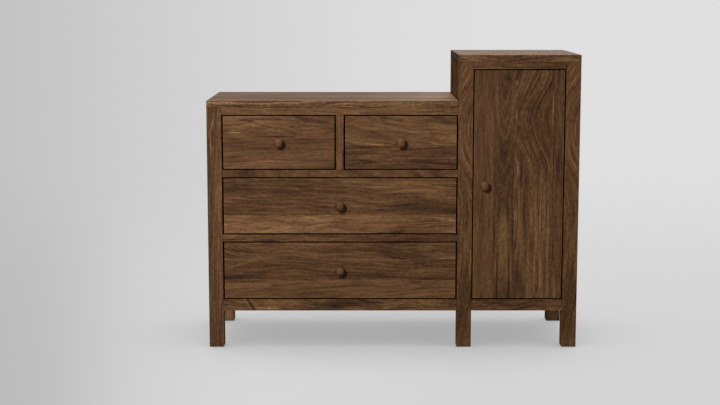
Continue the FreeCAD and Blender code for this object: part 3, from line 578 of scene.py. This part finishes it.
# The main streaks, placed one by one
GRAIN_AND_PAINTED_LIGHT_LINES = {
    "front_middle_leg": (
        Streak((0.440, -0.021), (0.487, 0.008), 0.0028, 0.39),
        Streak((0.400, -0.018), (0.470, 0.023), 0.0024, 0.34),
        Streak((0.371, -0.020), (0.408, 0.003), 0.0024, 0.18),
        Streak((0.420, -0.021), (0.477, 0.017), 0.0041, -0.18),
        Streak((0.381, -0.017), (0.442, 0.023), 0.0041, -0.16),
        Streak((0.269, -0.019), (0.208, -0.017), 0.0024, 0.26),
        Streak((0.225, -0.017), (0.160, -0.001), 0.0024, 0.39),
        Streak((0.170, -0.004), (0.125, 0.016), 0.0024, 0.26),
        Streak((0.218, -0.009), (0.146, 0.012), 0.0041, -0.16),
    ),
    "front_left_leg": (
        Streak((0.384, -0.002), (0.326, -0.016), 0.0028, 0.50),
        Streak((0.336, -0.017), (0.244, -0.009), 0.0028, 0.46),
        Streak((0.360, -0.004), (0.272, -0.007), 0.0041, -0.21),
        Streak((0.237, 0.006), (0.100, 0.002), 0.0028, 0.16),
    ),
    "dresser_top": (
        Streak((-0.540, 0.008), (-0.220, 0.004), 0.0045, 0.36),
        Streak((-0.450, -0.003), (-0.200, -0.002), 0.0030, -0.08),
        # The next two pale streaks, at the top's right end, are a painted sheen that lightens it near the
        # tower
        Streak((0.250, 0.012), (0.660, 0.012), 0.0040, 0.14),
        Streak((0.180, 0.001), (0.560, 0.004), 0.0090, 0.16),
        Streak((-0.112, 0.000), (0.057, 0.003), 0.0041, -0.18),
    ),
    "tower_top": (
        Streak((0.134, -0.003), (0.205, -0.005), 0.0045, 0.39),
        Streak((-0.204, 0.005), (-0.143, -0.010), 0.0034, 0.21),
        Streak((-0.103, 0.002), (0.083, -0.002), 0.0052, -0.13),
    ),
    "top_left_drawer_front": (
        Streak((-0.154, 0.086), (-0.005, 0.046), 0.0024, -0.42),
        Streak((-0.131, 0.084), (-0.056, 0.065), 0.0024, -0.29),
        Streak((-0.063, 0.055), (0.052, 0.027), 0.0028, 0.31),
        Streak((-0.169, 0.037), (-0.121, 0.035), 0.0041, 0.39),
        Streak((0.032, 0.046), (0.148, 0.055), 0.0031, 0.18),
        Streak((0.056, 0.032), (0.195, 0.042), 0.0028, 0.21),
        Streak((0.150, 0.039), (0.195, 0.038), 0.0034, -0.30),
        Streak((-0.196, 0.014), (-0.125, 0.010), 0.0055, -0.29),
        Streak((-0.050, 0.021), (0.069, 0.019), 0.0028, -0.36),
        Streak((-0.116, -0.080), (0.198, -0.074), 0.0055, 0.16),
    ),
    "top_right_drawer_front": (
        Streak((-0.071, 0.084), (-0.053, 0.061), 0.0031, -0.31),
        Streak((-0.059, 0.067), (0.003, 0.051), 0.0031, -0.23),
        Streak((-0.048, 0.077), (-0.003, 0.070), 0.0034, 0.18),
        Streak((-0.027, 0.069), (0.017, 0.080), 0.0028, -0.23),
        Streak((0.021, 0.036), (0.075, 0.038), 0.0028, 0.29),
        Streak((0.007, 0.028), (0.085, 0.027), 0.0028, -0.21),
        Streak((-0.194, -0.004), (-0.126, -0.013), 0.0031, -0.39),
        Streak((0.041, 0.002), (0.113, -0.003), 0.0031, -0.34),
        Streak((0.109, 0.003), (0.194, -0.004), 0.0028, -0.26),
        Streak((-0.105, -0.006), (-0.051, -0.008), 0.0028, 0.26),
        Streak((-0.156, -0.061), (-0.081, -0.065), 0.0028, -0.36),
        Streak((0.024, -0.065), (0.127, -0.061), 0.0028, -0.29),
        Streak((-0.180, -0.047), (-0.044, -0.043), 0.0028, 0.18),
    ),
    "middle_drawer_front": (
        Streak((-0.404, 0.024), (-0.130, -0.004), 0.0120, -0.18),
        Streak((0.050, 0.012), (0.800, -0.030), 0.0220, -0.30),
        Streak((-0.600, -0.016), (0.600, -0.014), 0.0160, -0.12),
        Streak((-0.550, -0.042), (0.550, -0.042), 0.0100, 0.10),
        Streak((-0.161, -0.026), (-0.062, -0.047), 0.0028, 0.36),
        Streak((-0.045, -0.056), (0.028, -0.058), 0.0138, -0.21),
        Streak((0.302, -0.034), (0.412, -0.053), 0.0034, 0.29),
        Streak((-0.223, -0.049), (-0.171, -0.058), 0.0031, -0.26),
        Streak((-0.377, -0.070), (-0.171, -0.063), 0.0069, 0.16),
        Streak((0.069, 0.065), (0.205, 0.069), 0.0028, 0.18),
    ),
    "low_drawer_front": (
        Streak((-0.398, 0.076), (-0.352, 0.060), 0.0028, -0.34),
        Streak((-0.386, 0.083), (-0.334, 0.062), 0.0030, -0.46),
        Streak((-0.366, 0.085), (-0.314, 0.064), 0.0030, -0.42),
        Streak((-0.342, 0.086), (-0.296, 0.068), 0.0028, -0.30),
        Streak((-0.397, 0.005), (-0.258, 0.053), 0.0028, 0.21),
        Streak((-0.397, 0.002), (-0.207, 0.032), 0.0031, -0.21),
        Streak((-0.600, -0.030), (-0.220, -0.018), 0.0100, -0.35),
        Streak((-0.550, -0.046), (-0.150, -0.046), 0.0100, 0.14),
        Streak((0.148, 0.056), (0.231, 0.040), 0.0031, -0.34),
        Streak((0.096, 0.090), (0.213, 0.075), 0.0031, -0.31),
        Streak((-0.248, -0.050), (-0.212, -0.053), 0.0040, -0.28),
        Streak((0.234, -0.040), (0.286, -0.041), 0.0028, -0.39),
        Streak((-0.139, -0.068), (0.138, -0.065), 0.0041, 0.16),
    ),
    "dresser_bottom_rail": (
        Streak((-0.352, 0.044), (-0.292, -0.038), 0.0030, 0.22),
        Streak((-0.340, 0.043), (-0.280, -0.039), 0.0070, -0.42),
        Streak((-0.330, 0.044), (-0.270, -0.038), 0.0030, 0.34),
        Streak((-0.322, 0.044), (-0.262, -0.038), 0.0030, 0.30),
        Streak((-0.290, -0.013), (-0.210, -0.014), 0.0040, 0.26),
        Streak((-0.280, 0.007), (-0.110, 0.002), 0.0080, 0.12),
        Streak((-0.140, 0.000), (0.150, 0.000), 0.0200, -0.16),
        Streak((-0.060, 0.010), (0.020, -0.010), 0.0090, -0.22),
    ),
    "tower_bottom_rail": (
        Streak((-0.147, -0.009), (-0.113, 0.016), 0.0028, 0.23),
        Streak((-0.116, -0.007), (-0.050, 0.017), 0.0034, -0.26),
        Streak((-0.057, 0.000), (0.047, 0.007), 0.0055, -0.18),
    ),
    "door_panel": (
        Streak((0.336, -0.010), (0.363, -0.008), 0.0038, 0.55),
        Streak((0.333, -0.011), (0.262, -0.015), 0.0028, 0.26),
        Streak((0.279, -0.016), (0.200, 0.001), 0.0041, 0.39),
        Streak((0.217, -0.001), (0.115, -0.006), 0.0031, 0.18),
        Streak((0.430, 0.062), (0.290, 0.008), 0.0040, 0.24),
        Streak((0.430, 0.086), (0.310, 0.030), 0.0034, 0.22),
        Streak((0.430, 0.104), (0.330, 0.052), 0.0034, 0.16),
        Streak((0.430, 0.074), (0.300, 0.020), 0.0060, -0.16),
        Streak((0.275, 0.015), (0.238, 0.004), 0.0028, 0.26),
        Streak((0.340, 0.114), (0.221, 0.113), 0.0024, 0.44),
        Streak((0.238, 0.113), (0.156, 0.126), 0.0024, 0.18),
        Streak((0.207, -0.006), (0.149, -0.004), 0.0028, -0.44),
        Streak((0.077, 0.008), (-0.016, 0.008), 0.0055, -0.39),
        Streak((0.088, -0.001), (-0.040, -0.016), 0.0028, 0.36),
        Streak((-0.067, -0.002), (-0.137, -0.018), 0.0028, 0.31),
        Streak((0.180, 0.040), (0.077, 0.064), 0.0028, 0.23),
        Streak((0.163, 0.022), (0.060, 0.046), 0.0028, 0.21),
        Streak((-0.178, -0.004), (-0.245, -0.016), 0.0041, -0.36),
        Streak((-0.266, 0.001), (-0.410, 0.010), 0.0120, -0.29),
        Streak((-0.241, 0.106), (-0.410, 0.112), 0.0055, 0.18),
        Streak((0.394, -0.051), (0.340, -0.023), 0.0089, -0.26),
    ),
}
GRAIN_AND_PAINTED_LIGHT_LINES["front_right_leg"] = GRAIN_AND_PAINTED_LIGHT_LINES["front_middle_leg"]
KNOB_TONES = {"top_left_drawer_knob": 0.055, "top_right_drawer_knob": 0.08, "middle_drawer_knob": 0.03,
              "low_drawer_knob": -0.03, "door_knob": 0.06}
# A pale streak across each knob's upper part: a painted highlight where light from above falls
KNOB_PAINTED_HIGHLIGHT = (Streak((-0.030, 0.010), (0.026, 0.010), 0.008, 0.12),)


def usual_plan(node, seed):
    """The run of the grain in a board that isn't planned by itself."""
    if node.endswith("_knob"):
        knob = Cut(tone=KNOB_TONES[node], heart=0.08, wave=0.01, red=0.3, figure=0.5, seed=seed)
        return Plan("XZY", (knob,))
    if node.endswith("_side_panel"):
        axes = "ZYX"
    elif node in ("dresser_back", "tower_back"):
        axes = "ZXY"
    elif node.endswith("_drawer_sides"):
        axes = "YZX"
    elif node.endswith(("_floor", "_shelves", "_bottom")):
        axes = "XYZ"
    else:
        axes = "XZY"
    return Plan(axes, (Cut(seed=seed),))


def add_screw(built, centre, facing, radius, height):
    """A pan head with a cross recess: its seat is at centre, and it faces along facing."""
    turn = Vector(facing).to_track_quat("Z", "Y").to_matrix()

    def corners(outline, rise):
        return [built.verts.new(Vector(centre) + turn @ Vector((x * radius, y * radius, rise * height)))
                for x, y in outline]

    def wall(low, high):
        for i in range(len(low)):
            built.faces.new((low[i - 1], low[i], high[i], high[i - 1]))

    circle = [(math.cos(2 * math.pi * i / SCREW_SIDES), math.sin(2 * math.pi * i / SCREW_SIDES))
              for i in range(SCREW_SIDES)]
    rings = [corners([(x * share, y * share) for x, y in circle], rise) for share, rise in SCREW_PROFILE]
    for low, high in zip(rings, rings[1:]):
        wall(low, high)
    built.faces.new(rings[0])
    quarter = [(RECESS_ARM, -RECESS_HALF), (RECESS_ARM, RECESS_HALF), (RECESS_HALF, RECESS_HALF)]
    cross = []
    for _ in range(4):
        cross += quarter
        quarter = [(-y, x) for x, y in quarter]
    rim = corners(cross, 1.0)
    floor = corners(cross, RECESS_FLOOR)
    wall(rim, floor)
    built.faces.new(floor)
    loops = [built.edges.get((loop[i - 1], loop[i])) or built.edges.new((loop[i - 1], loop[i]))
             for loop in (rings[-1], rim) for i in range(len(loop))]
    bmesh.ops.triangle_fill(built, use_beauty=True, edges=loops)


def add_screws(name, body, slot, places, radius, height):
    """One piece with a screw at each (centre, facing)."""
    built = bmesh.new()
    for centre, facing in places:
        add_screw(built, centre, facing, radius, height)
    bmesh.ops.recalc_face_normals(built, faces=built.faces)
    mesh = bpy.data.meshes.new(name)
    built.to_mesh(mesh)
    built.free()
    mesh.materials.append(SHARED[slot])
    screws = bpy.data.objects.new(name, mesh)
    bpy.context.scene.collection.objects.link(screws)
    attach(screws, body)


def build_screws():
    """Screws in the drawer slides, the hinge leaves and the catch."""
    for drawer in ("top_left", "top_right", "middle", "low"):
        lo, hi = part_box(f"{drawer}_slide_drawer")
        places = []
        for x, way in ((lo.x + SLIDE_WEB, -1), (hi.x - SLIDE_WEB, 1)):
            places += [((x, lo.y + step, (lo.z + hi.z) / 2), (way, 0, 0)) for step in SLIDE_SCREWS]
        add_screws(f"{drawer}_slide_screws", f"{drawer}_drawer", "zinc_steel", places, *PAN_HEAD)

    # Frame leaves have their screws towards the door, and door leaves towards the frame
    hinges = (("hinge_frame_leaves", "case", LEAF_THICKNESS), ("hinge_door_leaves", "door", 0.0))
    for leaves, body, inward in hinges:
        lo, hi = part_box(leaves)
        up = 1 if inward else -1
        places = []
        for z, way in ((lo.z + inward, up), (hi.z - inward, -up)):
            places += [((hi.x - step, (lo.y + hi.y) / 2, z), (0, 0, way)) for step in LEAF_SCREWS]
        add_screws(leaves.replace("leaves", "screws"), body, "black_steel", places, *LEAF_HEAD)

    lo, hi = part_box("magnetic_catch")
    places = [((hi.x, (lo.y + hi.y) / 2, (lo.z + hi.z) / 2 + way * CATCH_SCREW_SPACING / 2), (1, 0, 0))
              for way in (-1, 1)]
    add_screws("catch_screws", "case", "zinc_steel", places, *PAN_HEAD)
    lo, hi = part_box("catch_strike")
    centre = ((lo.x + hi.x) / 2, hi.y, (lo.z + hi.z) / 2)
    add_screws("strike_screw", "door", "zinc_steel", [(centre, (0, 1, 0))], *STRIKE_HEAD)


def dress(node, material):
    """Put a material on a CAD node."""
    for slot in frame["nodes"][node].material_slots:
        slot.material = material


def dress_all():
    """Every CAD node gets a material of its own, or the one its metal or plastic shares."""
    for number, part in enumerate(frame["record"]["subparts"]):
        node, slot = part["node"], part["material_slot"]
        if slot in SHARED:
            dress(node, SHARED[slot])
            continue
        lo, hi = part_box(node)
        plan = PLANS.get(node) or usual_plan(node, SEED_START + SEED_STEP * number)
        grain_and_painted_light_lines = GRAIN_AND_PAINTED_LIGHT_LINES.get(node, KNOB_PAINTED_HIGHLIGHT if node.endswith("_knob") else ())
        dress(node, wood(f"{node}_wood", plan, grain_and_painted_light_lines, (lo + hi) / 2, *WOODS[slot]))


def build_stage():
    """A wide pale floor with painted light: its shown level changes over a fan of directions and near the
    object, and it takes a soft painted shadow from what stands on it.
    """
    corners = [(-FLOOR_HALF, -FLOOR_HALF, 0), (FLOOR_HALF, -FLOOR_HALF, 0),
               (FLOOR_HALF, FLOOR_HALF, 0), (-FLOOR_HALF, FLOOR_HALF, 0)]
    mesh = bpy.data.meshes.new("floor")
    mesh.from_pydata(corners, [], [(0, 1, 2, 3)])
    floor = bpy.data.objects.new("floor", mesh)
    bpy.context.scene.collection.objects.link(floor)

    shader = new_material("pale_floor")
    x, y, _ = shader.place()
    sideways, forward = x - FLOOR_FAN[0], y - FLOOR_FAN[1]
    fan = sideways / (forward * forward + 1).apply("SQRT")
    level = fan.step(*FLOOR_FADE) * (FLOOR_RIGHT - FLOOR_LEFT) + FLOOR_LEFT
    # Painted light: near the object the floor's level falls to each side and rises a little in between
    fall = fan.step(*FALL_TO_RIGHT) * RIGHT_FALL + (1 - fan.step(*FALL_TO_LEFT)) * LEFT_FALL
    rise = fan.step(*RISE_FROM_LEFT) * (1 - fan.step(*RISE_TO_RIGHT)) * NEAR_RISE
    level = level * (1 - (1 - y.step(*NEAR_FLOOR)) * (fall - rise))
    # Painted shadow: the floor's shown colour darkens where the object stands within reach
    shade = 1 - (1 - shader.openness(SHADE_REACH)).step(*SHADE_STEP) * FLOOR_SHADE
    seen, glossy = shader.rays()
    dimmed = 1 - glossy * (1 - FLOOR_IN_REFLECTIONS)
    shown = shader.node("ShaderNodeEmission", {"Color": level * shade * dimmed})
    lit = shader.node("ShaderNodeBsdfDiffuse", {"Color": FLOOR_IN_OTHER_LIGHT})
    both = shader.node("ShaderNodeMixShader", {0: seen, 1: lit.outputs[0], 2: shown.outputs[0]})
    shader.feed(shader.tree.nodes["Material Output"].inputs["Surface"], both.outputs[0])
    mesh.materials.append(shader.owner)


def add_light(name, shape, size, power, place, turn, tint=(1.0, 1.0, 1.0)):
    """An area light that the camera doesn't see."""
    data = bpy.data.lights.new(name, "AREA")
    data.shape = shape
    data.size, data.size_y = size
    data.energy = power
    data.color = tint
    lamp = bpy.data.objects.new(name, data)
    lamp.location = place
    lamp.rotation_euler = turn
    lamp.visible_camera = False
    bpy.context.scene.collection.objects.link(lamp)


def build_lights():
    """A key light from the upper left, a softbox above, weak lights from behind and from low at the
    right, and an even light from all around."""
    away = (-math.tan(KEY_TO_THE_LEFT), -1.0, math.tan(KEY_ABOVE))
    length = math.hypot(*away)
    key_place = [place + part / length * KEY_DISTANCE for place, part in zip(KEY_TARGET, away)]
    key_turn = (math.pi / 2 - math.asin(away[2] / length), 0, -KEY_TO_THE_LEFT)
    add_light("key", "DISK", (KEY_SIZE, KEY_SIZE), KEY_POWER, key_place, key_turn)
    add_light("top", "RECTANGLE", TOP_SIZE, TOP_POWER, TOP_PLACE, (0, 0, 0))
    add_light("back", "RECTANGLE", BACK_SIZE, BACK_POWER, BACK_PLACE, BACK_TURN, BACK_TINT)
    add_light("low", "RECTANGLE", LOW_SIZE, LOW_POWER, LOW_PLACE, LOW_TURN)

    world = bpy.data.worlds.new("studio")
    bpy.context.scene.world = world
    shader = Shader(world)
    seen, _ = shader.rays()
    strength = seen * (SKY - FILL_LIGHT) + FILL_LIGHT
    shader.feed(shader.tree.nodes["Background"].inputs["Color"], (1.0, 1.0, 1.0, 1.0))
    shader.feed(shader.tree.nodes["Background"].inputs["Strength"], strength)


def build_camera():
    """A camera before the piece, a little to the left of its middle, that looks slightly down."""
    data = bpy.data.cameras.new("camera")
    data.lens = LENS
    data.sensor_width = SENSOR
    camera = bpy.data.objects.new("camera", data)
    camera.location = CAMERA_PLACE
    camera.rotation_euler = (CAMERA_TILT, 0, 0)
    bpy.context.scene.collection.objects.link(camera)
    bpy.context.scene.camera = camera


dress_all()
build_screws()
build_stage()
build_lights()
build_camera()
bpy.context.scene.view_settings.view_transform = "Standard"
